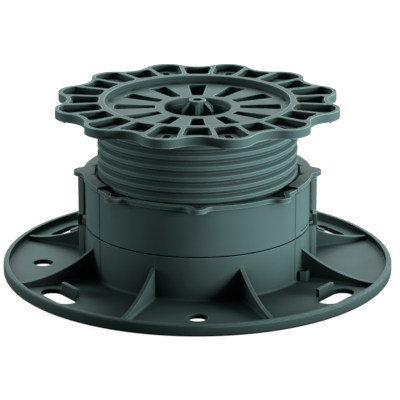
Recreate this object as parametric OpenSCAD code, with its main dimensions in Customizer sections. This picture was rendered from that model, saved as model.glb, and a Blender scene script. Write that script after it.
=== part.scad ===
// Decking pedestal: a wide round base, a screw collar that turns on its tube, and a
// lobed head on a threaded stem. The floor is z = 0, the stem axis is Z, the front is -Y.

/* [Overall] */
// Height of the head above the floor as it is set
set_h = 90; // [76:0.5:94]
// Running gap between pieces that move on each other
run_gap = 0.4; // [0.3:0.05:0.6]

/* [Base] */
// Radius of the round base plate
base_r = 100; // [92:0.5:120]
// Thickness of the base plate
plate_t = 2.6; // [2:0.1:4]
// Height of the raised rim
rim_h = 6.2; // [4.5:0.1:9]
// Width of the raised rim
rim_w = 2.7; // [2:0.1:4]
// Outer radius of the tube
tube_r = 57.2; // [55.5:0.1:60]
// Wall of the tube
tube_wall = 2.4; // [2:0.1:2.8]
// Height of the tube above the floor
tube_h = 25; // [22:0.5:34]
// How far the side panels stand proud of the front and back panels
panel_step = 0.25; // [0.2:0.05:0.6]
// Angle from the front at which the side panels begin
panel_az = 59; // [54:1:62]

/* [Gussets] */
// Number of gussets between the tube and the rim
gusset_n = 8; // [6:1:8]
// Thickness of a gusset
gusset_t = 2; // [1.5:0.1:3]
// Height of a gusset at the tube
gusset_h = 18.4; // [14:0.2:21]
// Height of a gusset at the rim
gusset_end = 4.8; // [4:0.1:6]
// Size of the sloped fillet along the foot of a gusset
gusset_foot = 0.9; // [0.5:0.1:1.5]

/* [Fixing holes] */
// Distance of the round holes from the axis
hole_pos = 79.8; // [76:0.1:84]
// Diameter of the round holes
hole_d = 10.4; // [8:0.1:12]
// Distance of the slots from the axis
slot_pos = 85; // [83:0.1:87]
// Angle of the slots from the front and from the back
slot_az = 54; // [48:1:55]
// Width of a slot
slot_w = 11.4; // [9:0.1:12]
// Length of a slot over its round ends
slot_len = 24.6; // [18:0.2:26]
// Height of the curb beside a slot, above the plate
curb_h = 4.1; // [3:0.1:6]
// Length of the curb
curb_len = 12.7; // [9:0.1:14]
// Thickness of the curb
curb_t = 1.8; // [1.4:0.1:2.4]

/* [Hex socket] */
// Angle of the small socket from the front
socket_az = 64.2; // [62:0.2:66]
// Radius of the socket over its corners
socket_r = 3.4; // [3:0.1:4]
// Height of the socket above the plate
socket_h = 5; // [4:0.1:7]
// Radius of the hole in the socket
socket_bore = 1.9; // [1.2:0.1:2.2]

/* [Collar] */
// Height of the collar above the tube
collar_h = 27; // [25:0.1:34]
// Wall of the collar
collar_wall = 2; // [1.6:0.1:2.4]
// Gap between the tube and the collar
seam = 0.8; // [0.4:0.05:1]
// How far the lip stands out from the wall
lip_out = 1; // [0.6:0.1:1.6]
// Height of the lip
lip_h = 2.1; // [1.6:0.1:2.2]
// How far the lip lies below the side webs in front and at the back
lip_drop = 0.9; // [0.5:0.1:1.4]
// Width of the lip band seen from above
lip_w = 2.8; // [2.2:0.1:3.2]
// Number of grip nubs around the lip
nub_n = 8; // [4:4:12]
// Reach of a grip nub beyond the lip
nub_out = 5; // [4:0.1:5.4]
// Thickness of a nub
nub_h = 2.3; // [2.3:0.1:3]
// Depth of the hollow in the front and back nubs
nub_d = 1.6; // [1.2:0.1:1.6]
// Length of the skirt inside the tube
skirt_len = 13; // [10:0.5:15]
// Wall of the skirt
skirt_wall = 2.8; // [2.4:0.1:3.2]
// Thickness of the web between the wall and the threaded sleeve
web_t = 3.2; // [2.5:0.1:4]
// Wall of the threaded sleeve
sleeve_wall = 2; // [1.6:0.1:2.2]

/* [Side lugs] */
// Reach of the side lugs beyond the tube
lug_out = 3.7; // [3.4:0.1:4.4]
// Half width of a side lug
lug_half = 6; // [5:0.1:7]
// Height of the collar lug above the seam
lug_lift = 5; // [4:0.1:7]
// Half width of the tongue on the base lug
tongue_half = 3; // [2:0.1:4]
// Thickness of the tongue
tongue_t = 1.9; // [1.6:0.1:2.4]
// Height of the spring slit above the seam
slit_z = 1.5; // [1.2:0.1:2.5]
// Opening of the spring slit
slit_h = 0.7; // [0.5:0.1:1]

/* [Thread] */
// Rise of the thread in one turn
pitch = 5.5; // [5:0.1:6.5]
// Depth of the thread
thread_d = 1.5; // [1.2:0.05:1.7]
// Height of the crest
crest_h = 1.7; // [1.4:0.05:1.8]
// Height of one flank
flank_h = 1.6; // [1.2:0.05:1.6]
// Share of a turn by which the thread is set round
thread_set = 0.22; // [0:0.01:1]
// Flats that make up one turn
turn_n = 60; // [48:12:72]

/* [Head] */
// Radius at the tips of the lobes
head_r = 73.4; // [71.5:0.1:76]
// Radius at the bottom of the hollows between lobes
hollow_r = 66; // [65:0.1:67]
// Radius of one lobe
lobe_r = 12; // [11:0.1:12.8]
// Thickness of the head plate
head_t = 4.6; // [4.4:0.1:6]
// Wall left around a pocket
pocket_wall = 2; // [1.6:0.1:2.4]
// Depth of the pockets
pocket_d = 3.2; // [2.6:0.1:3.4]
// Depth of the ledge in a pocket
ledge_d = 1.2; // [0.8:0.1:1.6]
// Width of the ledge
ledge_w = 0.8; // [0.5:0.1:1]
// Width of the land between the recess and the pockets
land_w = 2.9; // [2.4:0.1:4]
// Width of the drain slot under a lobe
drain_w = 3.6; // [2.4:0.1:4]
// Length of the stem below the head plate
stem_len = 49.4; // [47:0.1:50]
// Wall of the stem under its thread
stem_wall = 3.3; // [2.8:0.1:3.8]

/* [Disc and hub] */
// Width of the step around the round recess
recess_land = 0.9; // [0.5:0.1:1.3]
// Depth of the round recess
recess_d = 3.7; // [3:0.1:4]
// Thickness of the spoked disc
disc_t = 3; // [2.5:0.1:4]
// Number of slots in the disc
vent_n = 12; // [8:1:12]
// Distance of the inner end of a disc slot from the axis
vent_in = 21.3; // [20.6:0.1:24]
// Width of the disc between its slots and the stem
vent_land = 3.9; // [3:0.1:8]
// Width of a disc slot at its inner end
vent_w_in = 6; // [4:0.1:7]
// Width of a disc slot at its outer end
vent_w_out = 9.5; // [7:0.1:11]
// Radius of the opening in the disc
eye_r = 16.7; // [15:0.1:17.6]
// Depth of the well under the disc
well_h = 14; // [10:0.5:16]
// Wall and floor of the well
well_wall = 2; // [1.6:0.1:2.6]
// Radius of the hub at its top
hub_r = 4.3; // [4:0.1:5.2]
// Diameter of the screw hole in the hub
hub_hole_d = 5.2; // [4:0.1:5.6]
// Thickness of the fins on the hub and of the ribs under the disc
rib_t = 1.8; // [1.4:0.1:2.4]
// Height of the ribs under the disc
rib_h = 8; // [5:0.5:10]

/* [Hidden] */
// Overlaps that join the shapes of one piece, and the reach of cuts beyond a face
sink = 0.5;
lap = 0.03;
past = 1;

// Base
tube_in = tube_r - tube_wall;
rim_in = base_r - rim_w;
rim_foot_r = 1.6;
rim_top_r = 1.2;
rim_cove = 1;
tube_cove = 1.4;
panel_drop = 0.3;
gusset_out = rim_in - rim_cove;
gusset_flat = 1.5;
gusset_low = gusset_out + gusset_flat;
gusset_drop = gusset_h - gusset_end;
gusset_bow = (pow(gusset_low - tube_r, 2) + pow(gusset_drop, 2)) / (2 * gusset_drop);
slot_azs = [slot_az, -slot_az, 180 - slot_az, 180 + slot_az];
socket_out = 2.1;
socket_floor = 0.8;
socket_turn = 90 - socket_az;

// Collar
collar_z = tube_h + seam;
collar_top = collar_z + collar_h;
lip_top = collar_top - lip_drop;
wall_in = tube_r - collar_wall;
lip_r = tube_r + lip_out;
skirt_gap = 0.2;
skirt_out = tube_in - run_gap;
skirt_in = skirt_out - skirt_wall;
nut_r = skirt_in - skirt_gap;
thread_r = nut_r - run_gap;
sleeve_r = nut_r + sleeve_wall;
web_gap = 1.2;
bore_r = nut_r + web_gap;
floor_t = 3;
bead_rise = 3;
bead_z = collar_z - skirt_len + bead_rise;
bead_out = 0.9;
bead_half = 1.2;
groove_room = 0.1;
groove_out = bead_out + groove_room;
groove_half = bead_half + run_gap;
tap_gap = 0.3;

// Nubs of the lip: a tip circle and two coves at its foot
nub_r = 5;
nub_c = lip_r + nub_out - nub_r;
cove_r = 5;
cove_c = lip_r + cove_r - lap;
cove_a = acos((nub_c * nub_c + cove_c * cove_c - pow(nub_r + cove_r, 2)) / (2 * nub_c * cove_c));
nub_azs = [for (i = [0:nub_n - 1]) i * 360 / nub_n];
front_azs = [for (az = nub_azs) if (abs(cos(az)) > cos(panel_az)) az];
side_azs = [for (az = nub_azs) if (abs(cos(az)) <= cos(panel_az)) az];

// Side lugs
lug_r = tube_r + lug_out;
lug_z = collar_z + lug_lift;
lug_side = 2;
lug_foot = 0.4;
shoulder = [1.2, 0.8];
lug_step = 0.6;
tongue_out = lug_r + lug_foot;
tongue_in = tongue_out - tongue_t;
tongue_top = lug_z - run_gap;
tongue_seat = 3;
tongue_root = 6;
tongue_soft = [0.8, 1.2];
slit_z0 = collar_z + slit_z;
slit_start = 6;
slit_stop = 86;
notch = [1.6, 3, 3];

// Head
sector = 30;
head_under = set_h - head_t;
stem_z = head_under - stem_len;
stem_in = thread_r - thread_d - stem_wall;
recess_r = stem_in + recess_land;
pocket_in = recess_r + land_w;
lobe_c = head_r - lobe_r;
lobe_x = lobe_c * cos(sector / 2);
lobe_y = lobe_c * sin(sector / 2);
hollow_c = (lobe_c * lobe_c - pow(lobe_r - hollow_r, 2)) / (2 * (lobe_x + lobe_r - hollow_r));
hollow_arc = hollow_c - hollow_r;
hollow_d = [hollow_c - lobe_x, -lobe_y];
lobe_end = [lobe_x, lobe_y] + hollow_d * lobe_r / norm(hollow_d);
pocket_soft = 3.5;
hollow_soft = 2;
drain_land = 4.5;
drain_in = pocket_in + drain_land;
drain_out = head_r - pocket_wall - drain_land;
drip = [1.2, 10, 1.2];
drip_r = drain_out + drip[0] + past;

// Disc and hub
recess_z = set_h - recess_d;
recess_step = 1.8;
disc_z = recess_z - disc_t;
well_z = disc_z - well_h;
well_room = 0.6;
well_r = eye_r + well_room;
vent_out = stem_in - vent_land;
eye_soft = 1.2;
vent_soft = 1.6;
fin_foot = hub_r + 5.9;
fin_mid = hub_r + 4.3;
fin_top = hub_r + 0.6;
fin_drop = 1.2;
fin_z = set_h - fin_drop;

big = 400;
round_n = 180;
small_n = 48;
plastic = [0.19, 0.23, 0.235];

// Turns a piece drawn along +X to an angle counted from the front
module at(az) {
    rotate([0, 0, az - 90])
        children();
}

// A flat four-sided shape grown by a corner radius
module soft_quad(p, r) {
    polygon(p);
    for (i = [0:3]) {
        a = p[i];
        b = p[(i + 1) % 4];
        n = [b[1] - a[1], a[0] - b[0]] * r / norm(b - a);
        translate(a)
            circle(r + lap, $fn = small_n);
        polygon([a, b, b + n, a + n]);
    }
}

// A wedge along X with round corners, from x0 and half width h0 to x1 and half width h1
module soft_wedge(x0, h0, x1, h1, r) {
    soft_quad([[x0 + r, r - h0], [x1 - r, r - h1], [x1 - r, h1 - r], [x0 + r, h0 - r]], r);
}

// A round-ended slot along Y
module slot_2d(w, len) {
    square([w, len - w], center = true);
    for (s = [-1, 1])
        translate([0, s * (len - w) / 2])
            circle(d = w, $fn = small_n);
}

// A concave corner of radius r with its foot at the origin
module cove(r) {
    difference() {
        translate([-sink, -sink])
            square(r + sink);
        translate([r, r])
            circle(r, $fn = small_n);
    }
}

// A ring sector about Z between two radii and two heights
module band(r0, r1, z0, z1, az0, az1) {
    at(az0)
        rotate_extrude(angle = az1 - az0, $fn = round_n)
            translate([r0, z0])
                square([r1 - r0, z1 - z0]);
}

// A band on each side of the pedestal
module side_bands(r0, r1, z0, z1) {
    for (s = [0, 180])
        band(r0, r1, z0, z1, s + panel_az, s + 180 - panel_az);
}

// A snap bead or its groove: a ridge that stands out from the origin along X
module ridge(out, half) {
    tip = half - out / 2;
    polygon([[-sink, -half], [0, -half], [out, -tip], [out, tip], [0, half], [-sink, half]]);
}

// One screw-shaped solid: rows follow the profile, columns go round the axis
function thread_u(i, c) = [-c / 2 - flank_h, -c / 2, c / 2, c / 2 + flank_h][i % 4] + pitch * floor(i / 4);
function thread_rad(i, lo, hi) = [lo, hi, hi, lo][i % 4];
module screw(lo, hi, c, z0, z1) {
    first = floor(z0 / pitch) - 2;
    turns = ceil((z1 - z0) / pitch) + 4;
    m = 4 * turns - 1;
    rows = m + 1;
    n = turn_n;
    pts = [for (j = [0:n - 1], i = [0:m])
        [thread_rad(i, lo, hi) * cos(360 * j / n), thread_rad(i, lo, hi) * sin(360 * j / n),
         pitch * (first + j / n - thread_set) + thread_u(i, c)]];
    ends = [[0, 0, pitch * (first + 0.5)], [0, 0, pitch * (first + turns - 0.5)]];
    foot_c = n * rows;
    top_c = foot_c + 1;
    side = [for (j = [0:n - 2], i = [0:m - 1], t = [0, 1])
        t == 0 ? [j * rows + i, j * rows + i + 1, (j + 1) * rows + i + 1]
               : [j * rows + i, (j + 1) * rows + i + 1, (j + 1) * rows + i]];
    last = [for (i = [0:m - 5], t = [0, 1])
        t == 0 ? [(n - 1) * rows + i, (n - 1) * rows + i + 1, i + 5]
               : [(n - 1) * rows + i, i + 5, i + 4]];
    low = concat([for (j = [0:n - 1]) j * rows], [for (i = [4:-1:1]) i]);
    high = concat([for (j = [0:n - 1]) j * rows + m], [for (i = [1:4]) (n - 1) * rows + m - i]);
    edge_n = len(low);
    foot = [for (i = [0:edge_n - 1]) [foot_c, low[i], low[(i + 1) % edge_n]]];
    top = [for (i = [0:edge_n - 1]) [top_c, high[(i + 1) % edge_n], high[i]]];
    polyhedron(concat(pts, ends), concat(side, last, foot, top), convexity = 12);
}

// Outline of a side lug seen from above
module lug_2d(r) {
    wide = 2 * (lug_half + shoulder[1]);
    translate([tube_r - past, -wide / 2])
        square([past + shoulder[0], wide]);
    polygon([[tube_r, -lug_half], [tube_r + shoulder[0] + lug_foot, -lug_half], [r, lug_side - lug_half],
             [r, lug_half - lug_side], [tube_r + shoulder[0] + lug_foot, lug_half], [tube_r, lug_half]]);
}

// Half section of the plate, the rim and the tube
module base_profile() {
    square([base_r - rim_foot_r, plate_t]);
    translate([base_r - rim_foot_r, rim_foot_r])
        circle(rim_foot_r, $fn = small_n);
    translate([rim_in, rim_foot_r])
        square([rim_w, rim_h - rim_top_r - rim_foot_r]);
    translate([rim_in, plate_t / 2])
        square([rim_w - rim_top_r, rim_h - plate_t / 2]);
    translate([base_r - rim_top_r, rim_h - rim_top_r])
        circle(rim_top_r, $fn = small_n);
    translate([rim_in, plate_t])
        mirror([1, 0])
            cove(rim_cove);
    translate([tube_r, plate_t])
        cove(tube_cove);
    difference() {
        translate([tube_in, 0])
            square([tube_wall, tube_h]);
        translate([tube_in, bead_z])
            ridge(groove_out, groove_half);
    }
}

module gusset() {
    rotate([90, 0, 0])
        translate([0, 0, -gusset_t / 2])
            linear_extrude(gusset_t)
                difference() {
                    translate([tube_r - past, plate_t - sink])
                        square([gusset_out - tube_r + past, gusset_h - plate_t + sink]);
                    translate([gusset_low, gusset_end + gusset_bow])
                        circle(gusset_bow, $fn = round_n);
                }
    w = gusset_t / 2;
    translate([tube_r, 0, plate_t])
        rotate([90, 0, 90])
            linear_extrude(gusset_out - tube_r)
                polygon([[-w - gusset_foot, -sink], [w + gusset_foot, -sink], [w + gusset_foot, 0],
                         [w, gusset_foot], [-w, gusset_foot], [-w - gusset_foot, 0]]);
}

module curb() {
    translate([slot_pos - slot_w / 2 - curb_t, -curb_len / 2, plate_t - sink])
        cube([curb_t, curb_len, curb_h + sink]);
}

// Side lug of the base with its tongue that stands up outside the collar
module base_lug() {
    translate([0, 0, plate_t - sink])
        linear_extrude(tube_h - lug_step - plate_t + sink)
            lug_2d(lug_r);
    rotate([90, 0, 0])
        translate([0, 0, -tongue_half])
            linear_extrude(2 * tongue_half)
                polygon([[tongue_in, tube_h - tongue_seat], [tongue_out, tube_h - tongue_root],
                         [tongue_out, tongue_top - tongue_soft[1]],
                         [tongue_out - tongue_soft[0], tongue_top], [tongue_in, tongue_top]]);
}

module base() {
    color(plastic)
        difference() {
            union() {
                rotate_extrude($fn = round_n)
                    base_profile();
                side_bands(tube_r - past, tube_r + panel_step, plate_t - sink, tube_h - panel_drop);
                for (i = [0:gusset_n - 1])
                    at((i + 0.5) * 360 / gusset_n)
                        gusset();
                for (az = slot_azs)
                    at(az)
                        curb();
                for (az = [-90, 90])
                    at(az)
                        base_lug();
                at(socket_az)
                    translate([tube_r + socket_out, 0, plate_t - sink])
                        rotate([0, 0, socket_turn])
                            cylinder(r = socket_r, h = socket_h + sink, $fn = 6);
            }
            for (az = [0, -90])
                at(az)
                    translate([hole_pos, 0, -past])
                        cylinder(d = hole_d, h = plate_t + 2 * past, $fn = small_n);
            for (az = slot_azs)
                at(az)
                    translate([slot_pos, 0, -past])
                        linear_extrude(plate_t + 2 * past)
                            slot_2d(slot_w, slot_len);
            at(socket_az)
                translate([tube_r + socket_out, 0, plate_t + socket_floor])
                    cylinder(r = socket_bore, h = socket_h + past, $fn = small_n);
        }
}

// One nub outside radius r_in, drawn w inside the outer edge of the lip
module nub_2d(w, r_in) {
    foot = cove_c * [cos(cove_a), sin(cove_a)];
    difference() {
        union() {
            translate([nub_c, 0])
                circle(nub_r - w, $fn = small_n);
            polygon([[0, 0], [foot[0], -foot[1]], [nub_c, 0], foot]);
        }
        for (s = [-1, 1])
            rotate([0, 0, s * cove_a])
                translate([cove_c, 0])
                    circle(cove_r + w, $fn = small_n);
        circle(r_in, $fn = round_n);
    }
}

// A nub or its hollow between two heights
module nub(w, r_in, z0, z1) {
    translate([0, 0, z0])
        linear_extrude(z1 - z0)
            nub_2d(w, r_in);
}

// Half section of the wall, the floor, the skirt with its bead and the lip
module collar_profile() {
    translate([wall_in, collar_z])
        square([collar_wall, lip_top - lip_h / 2 - collar_z]);
    translate([skirt_in, collar_z])
        square([wall_in + sink - skirt_in, floor_t]);
    translate([skirt_in, collar_z - skirt_len])
        square([skirt_out - skirt_in, skirt_len + past]);
    translate([skirt_out, bead_z])
        ridge(bead_out, bead_half);
    translate([lip_r - lip_w, lip_top - lip_h])
        square([lip_w, lip_h]);
}

// Half section of a side panel with its lip and the web inside it
module side_profile() {
    translate([tube_r - past, collar_z + panel_drop])
        square([past + panel_step, collar_h - panel_drop - lip_h / 2]);
    translate([wall_in, collar_top - lip_h])
        square([lip_r + panel_step - wall_in, lip_h]);
    translate([bore_r, collar_top - web_t])
        square([wall_in + sink - bore_r, web_t]);
}

// Threaded sleeve that carries the stem
module sleeve() {
    difference() {
        translate([0, 0, collar_z + past])
            cylinder(r = sleeve_r, h = collar_h - past - web_t + sink, $fn = round_n);
        screw(thread_r - thread_d + run_gap, nut_r, crest_h + tap_gap, collar_z - pitch, collar_top + pitch);
    }
}

// Side lug of the collar over its ledge
module collar_lug() {
    translate([0, 0, lug_z])
        linear_extrude(collar_top - nub_h - sink - lug_z)
            lug_2d(lug_r);
    translate([0, 0, collar_z])
        linear_extrude(slit_z)
            lug_2d(tongue_in - run_gap);
}

module collar() {
    color(plastic)
        difference() {
            union() {
                difference() {
                    union() {
                        rotate_extrude($fn = round_n)
                            collar_profile();
                        for (az = front_azs)
                            at(az)
                                nub(0, wall_in + sink, lip_top - nub_h, lip_top);
                    }
                    for (az = front_azs)
                        at(az)
                            nub(lip_w, wall_in - past, lip_top - nub_d, lip_top + past);
                }
                for (az = side_azs)
                    at(az)
                        nub(0, wall_in + sink, collar_top - nub_h, collar_top);
                for (s = [0, 180])
                    at(s + panel_az)
                        rotate_extrude(angle = 180 - 2 * panel_az, $fn = round_n)
                            side_profile();
                sleeve();
                for (az = [-90, 90])
                    at(az)
                        collar_lug();
            }
            for (s = [0, 180])
                band(tube_r - past, big, slit_z0, slit_z0 + slit_h, s + panel_az + slit_start, s + slit_stop);
            for (az = [-90, 90])
                at(az)
                    translate([tube_r + panel_step, -lug_half - past, lug_z - sink])
                        cube(notch);
        }
}

// Outline of the head plate
module head_2d() {
    difference() {
        circle(norm(lobe_end), $fn = round_n);
        for (az = [0:sector:359])
            at(az)
                translate([hollow_c, 0])
                    circle(hollow_arc, $fn = small_n);
    }
    for (az = [0:sector:359])
        at(az + sector / 2)
            translate([lobe_c, 0])
                circle(lobe_r, $fn = small_n);
}

// Half width of a pocket at radius r, drawn e inside its rim
function pocket_half(r, e) = r * tan(sector / 4) - (pocket_wall / 2 + e) / cos(sector / 4);

// A pocket between two ribs, from its inner end to corner centres at x1
module pocket_2d(x1, e, r) {
    x0 = pocket_in + e + r;
    h0 = pocket_half(x0, e + r);
    h1 = pocket_half(x1, e + r);
    soft_quad([[x0, -h0], [x1, -h1], [x1, h1], [x0, h0]], r);
}

// Pocket under a lobe, with a round outer end
module lobe_pocket(e) {
    intersection() {
        pocket_2d(head_r + lobe_r, e, pocket_soft - e);
        union() {
            translate([lobe_c, 0])
                circle(lobe_r - pocket_wall - e, $fn = small_n);
            translate([0, -head_r])
                square([lobe_c, 2 * head_r]);
        }
    }
}

// Pocket between two lobes, with a hollow outer end
module hollow_pocket(e) {
    arc = hollow_arc + pocket_wall + e;
    r = hollow_soft - e;
    half = pocket_half(hollow_r - pocket_wall - e - r, e + r);
    difference() {
        pocket_2d(hollow_c - sqrt(pow(arc + r, 2) - half * half), e, r);
        translate([hollow_c, 0])
            circle(arc, $fn = small_n);
    }
}

// All pockets, drawn e inside their rims
module pockets(e) {
    for (az = [0:sector:359]) {
        at(az + sector / 2)
            lobe_pocket(e);
        at(az)
            hollow_pocket(e);
    }
}

// Drain slot along X
module drain_2d() {
    translate([(drain_in + drain_out) / 2, 0])
        rotate([0, 0, 90])
            slot_2d(drain_w, drain_out - drain_in);
}

// Head plate with its stepped pockets, its drains and a drip bead outside each drain
module head_plate() {
    difference() {
        union() {
            translate([0, 0, head_under])
                linear_extrude(head_t)
                    head_2d();
            for (az = [0:sector:359])
                at(az + sector / 2)
                    translate([drip_r, -drip[1] / 2, head_under - drip[2]])
                        cube([drip[0], drip[1], drip[2] + sink]);
        }
        translate([0, 0, head_under - past])
            cylinder(r = stem_in, h = head_t + 2 * past, $fn = round_n);
        translate([0, 0, set_h - recess_step])
            cylinder(r = recess_r, h = recess_step + past, $fn = round_n);
        translate([0, 0, set_h - ledge_d])
            linear_extrude(ledge_d + past)
                pockets(0);
        translate([0, 0, set_h - pocket_d])
            linear_extrude(pocket_d + past)
                pockets(ledge_w);
        translate([0, 0, head_under - past])
            linear_extrude(head_t)
                for (az = [0:sector:359])
                    at(az + sector / 2)
                        drain_2d();
    }
}

// Half section of the disc and of the well under its opening
module disc_profile() {
    difference() {
        translate([eye_r, disc_z])
            square([stem_in + past - eye_r, disc_t]);
        translate([eye_r - past, recess_z - eye_soft])
            square([eye_soft + past, eye_soft + past]);
    }
    translate([eye_r + eye_soft, recess_z - eye_soft])
        circle(eye_soft, $fn = small_n);
    translate([well_r, well_z])
        square([well_wall, well_h + sink]);
    translate([0, well_z])
        square([well_r + sink, well_wall]);
}

// Hub that stands in the well on six fins
module hub() {
    translate([0, 0, well_z])
        cylinder(r = hub_r, h = set_h - well_z, $fn = small_n);
    for (az = [0:60:359])
        at(az)
            rotate([90, 0, 0])
                translate([0, 0, -rib_t / 2])
                    linear_extrude(rib_t)
                        polygon([[hub_r / 2, well_z + past], [fin_foot, well_z + past],
                                 [fin_mid, recess_z - past], [fin_top, fin_z], [hub_r / 2, fin_z]]);
}

// Hollow stem with its outer thread
module stem() {
    difference() {
        intersection() {
            screw(thread_r - thread_d, thread_r, crest_h, stem_z, head_under + past);
            translate([0, 0, stem_z])
                cylinder(r = thread_r + past, h = stem_len + past, $fn = round_n);
        }
        translate([0, 0, stem_z - past])
            cylinder(r = stem_in, h = stem_len + 3 * past, $fn = round_n);
    }
}

module head() {
    color(plastic)
        difference() {
            union() {
                head_plate();
                rotate_extrude($fn = round_n)
                    disc_profile();
                hub();
                stem();
                for (i = [0:vent_n - 1])
                    at((i + 0.5) * 360 / vent_n)
                        translate([well_r + sink, -rib_t / 2, disc_z - rib_h])
                            cube([stem_in + past - well_r - sink, rib_t, rib_h + sink]);
            }
            for (i = [0:vent_n - 1])
                at(i * 360 / vent_n)
                    translate([0, 0, disc_z - past])
                        linear_extrude(disc_t + 2 * past)
                            soft_wedge(vent_in, vent_w_in / 2, vent_out, vent_w_out / 2, vent_soft);
            translate([0, 0, well_z - past])
                cylinder(d = hub_hole_d, h = set_h - well_z + 2 * past, $fn = small_n);
        }
}

base();
collar();
head();
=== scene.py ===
import math

import bmesh
import bpy
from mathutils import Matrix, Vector


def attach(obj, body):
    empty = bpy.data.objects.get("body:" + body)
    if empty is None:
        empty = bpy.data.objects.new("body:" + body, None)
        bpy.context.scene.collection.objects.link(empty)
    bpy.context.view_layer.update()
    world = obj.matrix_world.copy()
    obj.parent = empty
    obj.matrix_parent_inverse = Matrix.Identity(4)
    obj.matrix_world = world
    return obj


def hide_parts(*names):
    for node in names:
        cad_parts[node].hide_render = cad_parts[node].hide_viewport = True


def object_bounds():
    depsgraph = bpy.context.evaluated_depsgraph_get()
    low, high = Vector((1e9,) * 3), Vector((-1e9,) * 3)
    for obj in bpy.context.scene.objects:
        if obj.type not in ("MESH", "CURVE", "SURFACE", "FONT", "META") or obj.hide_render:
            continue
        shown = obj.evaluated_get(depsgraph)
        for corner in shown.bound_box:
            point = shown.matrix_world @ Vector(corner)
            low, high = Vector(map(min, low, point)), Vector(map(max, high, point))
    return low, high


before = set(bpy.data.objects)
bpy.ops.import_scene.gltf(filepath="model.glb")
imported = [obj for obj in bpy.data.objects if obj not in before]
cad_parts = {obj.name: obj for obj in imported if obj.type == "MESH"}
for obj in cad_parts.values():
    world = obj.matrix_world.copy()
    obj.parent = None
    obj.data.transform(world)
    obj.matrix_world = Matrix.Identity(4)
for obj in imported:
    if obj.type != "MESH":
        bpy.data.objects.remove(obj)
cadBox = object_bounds()
scene = bpy.context.scene
scene.view_settings.view_transform = "Standard"
print("frame loaded with", ", ".join(sorted(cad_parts)))

# Camera where the photograph was taken from, 17.6 degrees above the middle of the pedestal
photoCamera = {
    "place": (0.0, -1.1478, 0.4096),  # metres
    "pitch": 71.9965,  # degrees, where 90 looks level
    "yaw": -0.0638,  # degrees
    "lens": 211.86,  # millimetres, as the sensor
    "sensor": 36.0,
}


def addCamera(settings):
    data = bpy.data.cameras.new("photoCamera")
    data.lens = settings["lens"]
    data.sensor_width = settings["sensor"]
    camera = bpy.data.objects.new("photoCamera", data)
    camera.location = settings["place"]
    camera.rotation_euler = (math.radians(settings["pitch"]), 0.0, math.radians(settings["yaw"]))
    scene.collection.objects.link(camera)
    scene.camera = camera


addCamera(photoCamera)
print("camera placed")


# Small helpers for node trees
def addNode(tree, kind, place, **values):
    node = tree.nodes.new(kind)
    node.location = place
    for name, value in values.items():
        setattr(node, name, value)
    return node


def link(tree, source, target):
    tree.links.new(source, target)


# A socket is linked, a plain number is set on the target itself
def feed(tree, source, target):
    if isinstance(source, bpy.types.NodeSocket):
        link(tree, source, target)
    else:
        target.default_value = source


def addMath(tree, place, operation, first, second):
    node = addNode(tree, "ShaderNodeMath", place, operation=operation)
    feed(tree, first, node.inputs[0])
    feed(tree, second, node.inputs[1])
    return node.outputs["Value"]


def addRange(tree, place, value, fromBand=(0.0, 1.0), toBand=(0.0, 1.0)):
    node = addNode(tree, "ShaderNodeMapRange", place)
    feed(tree, value, node.inputs["Value"])
    ends = ("From Min", "From Max", "To Min", "To Max")
    for name, source in zip(ends, (*fromBand, *toBand)):
        feed(tree, source, node.inputs[name])
    return node.outputs["Result"]


def addMix(tree, place, kind, factor, first, second):
    node = addNode(tree, "ShaderNodeMix", place, data_type=kind)
    feed(tree, factor, node.inputs["Factor"])
    feed(tree, first, node.inputs["A"])
    feed(tree, second, node.inputs["B"])
    return node.outputs["Result"]


def addScale(tree, place, colour, amount):
    node = addNode(tree, "ShaderNodeVectorMath", place, operation="SCALE")
    feed(tree, colour, node.inputs[0])
    feed(tree, amount, node.inputs["Scale"])
    return node.outputs["Vector"]


def addNoise(tree, place, where, scale, detail):
    node = addNode(tree, "ShaderNodeTexNoise", place)
    feed(tree, where, node.inputs["Vector"])
    feed(tree, scale, node.inputs["Scale"])
    feed(tree, detail, node.inputs["Detail"])
    return node.outputs["Fac"]


def newMaterial(name):
    material = bpy.data.materials.new(name)
    material.use_nodes = True
    material.node_tree.nodes.clear()
    return material, material.node_tree


# Satin skin of moulded polypropylene: cloudy colour, fine grain, a painted highlight along edges that
# stand out, painted shade in crevices
skinColours = {  # a look's colours and values, with the sockets that take them
    "tint": "Tint",
    "edgeHighlightColour": "Edge Tint",
}
skinValues = {
    "edgeAmount": "Edge Amount",
    "edgeWidth": "Edge Width",
    "edgeReach": "Edge Reach",
    "crevicePower": "Crevice Power",
    "creviceReach": "Crevice Reach",
    "neighbourShade": "Neighbour Shade",
    "cloudScale": "Cloud Scale",
    "cloudAmount": "Cloud Amount",
    "grainScale": "Grain Scale",
    "roughnessLow": "Roughness Low",
    "roughnessHigh": "Roughness High",
}
skinOutputs = {
    "Colour": "NodeSocketColor",
    "Roughness": "NodeSocketFloat",
    "Height": "NodeSocketFloat",
}
skinRule = {
    "noiseBand": (0.3, 0.7),  # the part of a noise that is used
    "cloudDetail": 4.0,
    "edgeSamples": 6,
    "edgeTurn": (0.995, 0.88),  # cosines at which a corner starts and is full
    "openSky": (0.7, 0.9),  # how much sky an edge that stands out sees
    "shadeSamples": 8,
    "flowScale": 85.0,
    "flowDetail": 3.0,
    "grainDetail": 2.0,
}


# Share of open sky within a reach, shaded by the piece alone or by all that is near
def addShade(tree, place, reach, ownOnly):
    node = addNode(tree, "ShaderNodeAmbientOcclusion", place, only_local=ownOnly)
    node.samples = skinRule["shadeSamples"]
    feed(tree, reach, node.inputs["Distance"])
    return node.outputs["AO"]


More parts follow.
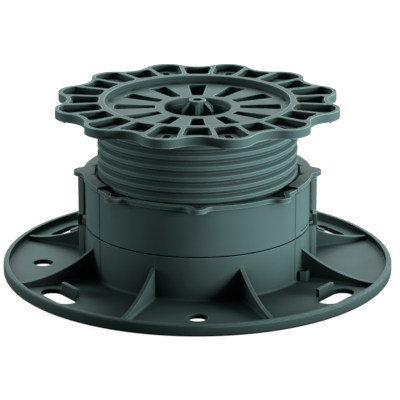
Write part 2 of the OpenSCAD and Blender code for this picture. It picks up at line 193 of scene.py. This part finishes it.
def cloudyTint(tree, given, where):
    cloud = addNoise(tree, (-600, 200), where, given["Cloud Scale"], skinRule["cloudDetail"])
    shade = addRange(tree, (-400, 200), cloud, skinRule["noiseBand"], (1.0, 0.0))
    amount = addMath(tree, (-200, 200), "MULTIPLY", shade, given["Cloud Amount"])
    keep = addMath(tree, (-50, 200), "SUBTRACT", 1.0, amount)
    return addScale(tree, (100, 200), given["Tint"], keep)


# Painted highlight: a corner turns the softened normal away from the true one, and only a corner that
# stands out gets a pale line painted into its colour
def paintedEdgeHighlight(tree, given):
    shape = addNode(tree, "ShaderNodeNewGeometry", (-600, -100))
    soft = addNode(tree, "ShaderNodeBevel", (-600, -200), samples=skinRule["edgeSamples"])
    link(tree, given["Edge Width"], soft.inputs["Radius"])
    turn = addNode(tree, "ShaderNodeVectorMath", (-400, -100), operation="DOT_PRODUCT")
    link(tree, shape.outputs["Normal"], turn.inputs[0])
    link(tree, soft.outputs["Normal"], turn.inputs[1])
    corner = addRange(tree, (-200, -100), turn.outputs["Value"], skinRule["edgeTurn"])
    sky = addShade(tree, (-600, -250), given["Edge Reach"], False)
    proud = addRange(tree, (-400, -250), sky, skinRule["openSky"])
    convex = addMath(tree, (-50, -100), "MULTIPLY", corner, proud)
    return addMath(tree, (100, -100), "MULTIPLY", convex, given["Edge Amount"])


# Painted shade: the colour darkens where little open sky is seen, in corners, recesses and between
# pieces
def paintedCreviceShade(tree, given):
    alone = addShade(tree, (-100, -250), given["Crevice Reach"], True)
    nearby = addShade(tree, (-100, -450), given["Crevice Reach"], False)
    sky = addMix(tree, (100, -350), "FLOAT", given["Neighbour Shade"], alone, nearby)
    return addMath(tree, (250, -250), "POWER", sky, given["Crevice Power"])


def makeMouldedSkin():
    tree = bpy.data.node_groups.new("mouldedSkin", "ShaderNodeTree")
    for kind, inputs in (("NodeSocketColor", skinColours), ("NodeSocketFloat", skinValues)):
        for name in inputs.values():
            tree.interface.new_socket(name, in_out="INPUT", socket_type=kind)
    for name, kind in skinOutputs.items():
        tree.interface.new_socket(name, in_out="OUTPUT", socket_type=kind)
    given = addNode(tree, "NodeGroupInput", (-900, 0)).outputs
    result = addNode(tree, "NodeGroupOutput", (900, 0)).inputs
    where = addNode(tree, "ShaderNodeTexCoord", (-900, -300)).outputs["Object"]

    body = cloudyTint(tree, given, where)
    edgeHighlight = paintedEdgeHighlight(tree, given)
    # Painted highlight mixed into the colour along edges, then painted shade in crevices multiplied in
    edged = addMix(tree, (300, 100), "RGBA", edgeHighlight, body, given["Edge Tint"])
    link(tree, addScale(tree, (600, 100), edged, paintedCreviceShade(tree, given)), result["Colour"])

    flow = addNoise(tree, (-600, -350), where, skinRule["flowScale"], skinRule["flowDetail"])
    polish = (given["Roughness Low"], given["Roughness High"])
    link(tree, addRange(tree, (-400, -350), flow, skinRule["noiseBand"], polish), result["Roughness"])

    grain = addNoise(tree, (-600, -600), where, given["Grain Scale"], skinRule["grainDetail"])
    link(tree, grain, result["Height"])
    return tree


mouldedSkin = makeMouldedSkin()
print("skin made")


# The plastic itself: the skin's colour and roughness, its grain as bump, corners that catch the light
def plasticMaterial(name, look):
    material, tree = newMaterial(name)
    skin = addNode(tree, "ShaderNodeGroup", (-500, 0), node_tree=mouldedSkin)
    for value, socket in {**skinColours, **skinValues}.items():
        skin.inputs[socket].default_value = look[value]
    bump = addNode(tree, "ShaderNodeBump", (-250, -200))
    bump.inputs["Strength"].default_value = look["grainStrength"]
    bump.inputs["Distance"].default_value = look["grainDepth"]
    arris = addNode(tree, "ShaderNodeBevel", (-450, -350), samples=look["arrisSamples"])
    arris.inputs["Radius"].default_value = look["arris"]
    shader = addNode(tree, "ShaderNodeBsdfPrincipled", (0, 0))
    shader.inputs["IOR"].default_value = look["ior"]
    shader.inputs["Specular IOR Level"].default_value = look["specular"]
    shader.inputs["Specular Tint"].default_value = look["specularTint"]
    output = addNode(tree, "ShaderNodeOutputMaterial", (300, 0))
    link(tree, skin.outputs["Colour"], shader.inputs["Base Color"])
    link(tree, skin.outputs["Roughness"], shader.inputs["Roughness"])
    link(tree, skin.outputs["Height"], bump.inputs["Height"])
    link(tree, arris.outputs["Normal"], bump.inputs["Normal"])
    link(tree, bump.outputs["Normal"], shader.inputs["Normal"])
    link(tree, shader.outputs["BSDF"], output.inputs["Surface"])
    return material


# A moulded piece: the node's own form, welded, with its flat facets joined and its true corners sharp
def mouldPiece(settings):
    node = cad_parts[settings["node"]]
    mesh = node.data.copy()
    mesh.name = settings["name"]
    form = bmesh.new()
    form.from_mesh(mesh)
    bmesh.ops.remove_doubles(form, verts=form.verts, dist=settings["weld"])
    bmesh.ops.dissolve_degenerate(form, edges=form.edges, dist=settings["weld"])
    bmesh.ops.join_triangles(
        form,
        faces=form.faces,
        angle_face_threshold=math.radians(settings["flatAngle"]),
        angle_shape_threshold=math.radians(settings["squareAngle"]),
    )
    bmesh.ops.recalc_face_normals(form, faces=form.faces)
    for face in form.faces:
        face.smooth = True
    form.to_mesh(mesh)
    form.free()
    mesh.set_sharp_from_angle(angle=math.radians(settings["sharpAngle"]))
    mesh.materials.clear()
    mesh.materials.append(plasticMaterial(settings["name"] + "Plastic", settings["look"]))
    piece = bpy.data.objects.new(settings["name"], mesh)
    scene.collection.objects.link(piece)
    normals = piece.modifiers.new("faceNormals", "WEIGHTED_NORMAL")
    normals.keep_sharp = True
    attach(piece, settings["body"])
    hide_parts(settings["node"])
    print(settings["name"], "moulded with", len(mesh.polygons), "faces")


# Slate plastic that all three mouldings share, with lengths in metres
slateLook = {
    "tint": (0.064, 0.114, 0.110, 1.0),
    # pale colour painted along edges that stand out, as a highlight
    "edgeHighlightColour": (0.26, 0.42, 0.40, 1.0),
    "edgeAmount": 0.9,
    "edgeWidth": 0.0005,
    "edgeReach": 0.004,
    # strength and reach of the painted shade in crevices
    "crevicePower": 1.35,
    "creviceReach": 0.03,
    "neighbourShade": 0.0,  # 1 lets the pieces beside it shade it too
    "cloudScale": 28.0,
    "cloudAmount": 0.12,
    "grainScale": 2400.0,
    "grainStrength": 0.12,
    "grainDepth": 0.0002,
    "arris": 0.00022,  # radius that a corner seems to have
    "arrisSamples": 8,
    "roughnessLow": 0.56,
    "roughnessHigh": 0.62,
    "ior": 1.49,
    "specular": 0.015,  # low, or the white room greys the tops
    "specularTint": (0.55, 1.0, 0.97, 1.0),
}

# How all three are cleaned up, in metres and degrees
mouldRule = {
    "weld": 0.00002,
    "flatAngle": 1.5,
    "squareAngle": 60.0,
    "sharpAngle": 16.0,
}

basePiece = {
    **mouldRule,
    "name": "flangeBase",
    "node": "base",
    "body": "base",
    "slot": "base_plastic",
    # the base's painted shade also counts the collar and floor beside it, and its painted edge
    # highlight is weaker
    "look": {**slateLook, "edgeAmount": 0.6, "neighbourShade": 1.0},
}
mouldPiece(basePiece)

collarPiece = {
    **mouldRule,
    "name": "screwCollar",
    "node": "collar",
    "body": "collar",
    "slot": "collar_plastic",
    "look": slateLook,
}
mouldPiece(collarPiece)

headPiece = {
    **mouldRule,
    "name": "lobedHead",
    "node": "head",
    "body": "head",
    "slot": "head_plastic",
    # the head's painted crevice shade is stronger and shorter in reach, and its painted edge highlight
    # wider
    "look": {**slateLook, "edgeWidth": 0.0008, "crevicePower": 2.0, "creviceReach": 0.007},
}
mouldPiece(headPiece)

# Plain floor that reads white and still takes the shadow
floorLook = {
    "half": 4.0,  # metres from the middle to a side
    "drop": 0.0002,  # metres below the base, so that the two don't share a plane
    "colour": (0.14, 0.14, 0.14, 1.0),
    "glow": 0.95,
}


# One for what the camera sees, straight or by way of shiny or clear things, and zero for light
def seenDirectly(tree):
    path = addNode(tree, "ShaderNodeLightPath", (-800, 0)).outputs
    shiny = addMath(tree, (-600, 0), "MAXIMUM", path["Is Camera Ray"], path["Is Glossy Ray"])
    return addMath(tree, (-400, 0), "MAXIMUM", shiny, path["Is Transmission Ray"])


def addFloor(settings):
    half = settings["half"]
    low = -settings["drop"]
    mesh = bpy.data.meshes.new("floor")
    corners = [(-half, -half, low), (half, -half, low), (half, half, low), (-half, half, low)]
    mesh.from_pydata(corners, [], [(0, 1, 2, 3)])
    material, tree = newMaterial("floorPaint")
    glow = addMath(tree, (-200, -100), "MULTIPLY", seenDirectly(tree), settings["glow"])
    paint = addNode(tree, "ShaderNodeBsdfDiffuse", (0, 100))
    paint.inputs["Color"].default_value = settings["colour"]
    shine = addNode(tree, "ShaderNodeEmission", (0, -100))
    link(tree, glow, shine.inputs["Strength"])
    both = addNode(tree, "ShaderNodeAddShader", (200, 0))
    link(tree, paint.outputs["BSDF"], both.inputs[0])
    link(tree, shine.outputs["Emission"], both.inputs[1])
    output = addNode(tree, "ShaderNodeOutputMaterial", (400, 0))
    link(tree, both.outputs["Shader"], output.inputs["Surface"])
    mesh.materials.append(material)
    floor = bpy.data.objects.new("floor", mesh)
    scene.collection.objects.link(floor)


addFloor(floorLook)
print("floor laid")

# White room: white where it is seen, a quiet fill where it lights
roomLook = {"fill": 0.06, "white": 1.0}


def addRoom(settings):
    world = bpy.data.worlds.new("room")
    scene.world = world
    world.use_nodes = True
    tree = world.node_tree
    tree.nodes.clear()
    level = addRange(tree, (-200, 0), seenDirectly(tree), toBand=(settings["fill"], settings["white"]))
    back = addNode(tree, "ShaderNodeBackground", (0, 0))
    link(tree, level, back.inputs["Strength"])
    output = addNode(tree, "ShaderNodeOutputWorld", (200, 0))
    link(tree, back.outputs["Background"], output.inputs["Surface"])


addRoom(roomLook)
print("room painted")

# Soft boxes, in degrees, metres and watts: azimuth counts from the front to the right
softBoxes = {
    "backKey": {"azimuth": 174.0, "lift": 46.0, "reach": 1.1, "size": (0.8, 0.4), "power": 14.0},
    "backLow": {"azimuth": 178.0, "lift": 22.0, "reach": 1.1, "size": (1.1, 0.25), "power": 15.0},
    "rightWall": {"azimuth": 71.0, "lift": 8.0, "reach": 0.9, "size": (0.5, 0.2), "power": 17.0},
    "leftStrip": {"azimuth": -98.0, "lift": 10.0, "reach": 0.75, "size": (0.3, 0.2), "power": 4.0},
}


def addSoftBox(name, settings, target):
    data = bpy.data.lights.new(name, "AREA")
    data.shape = "RECTANGLE"
    data.size, data.size_y = settings["size"]
    data.energy = settings["power"]
    azimuth = math.radians(settings["azimuth"])
    lift = math.radians(settings["lift"])
    away = Vector((
        math.sin(azimuth) * math.cos(lift),
        -math.cos(azimuth) * math.cos(lift),
        math.sin(lift),
    ))
    lamp = bpy.data.objects.new(name, data)
    lamp.location = target + away * settings["reach"]
    lamp.rotation_euler = away.to_track_quat("Z", "Y").to_euler()
    lamp.visible_camera = False
    scene.collection.objects.link(lamp)


middle = (cadBox[0] + cadBox[1]) / 2
for name, settings in softBoxes.items():
    addSoftBox(name, settings, middle)
print("lights set")
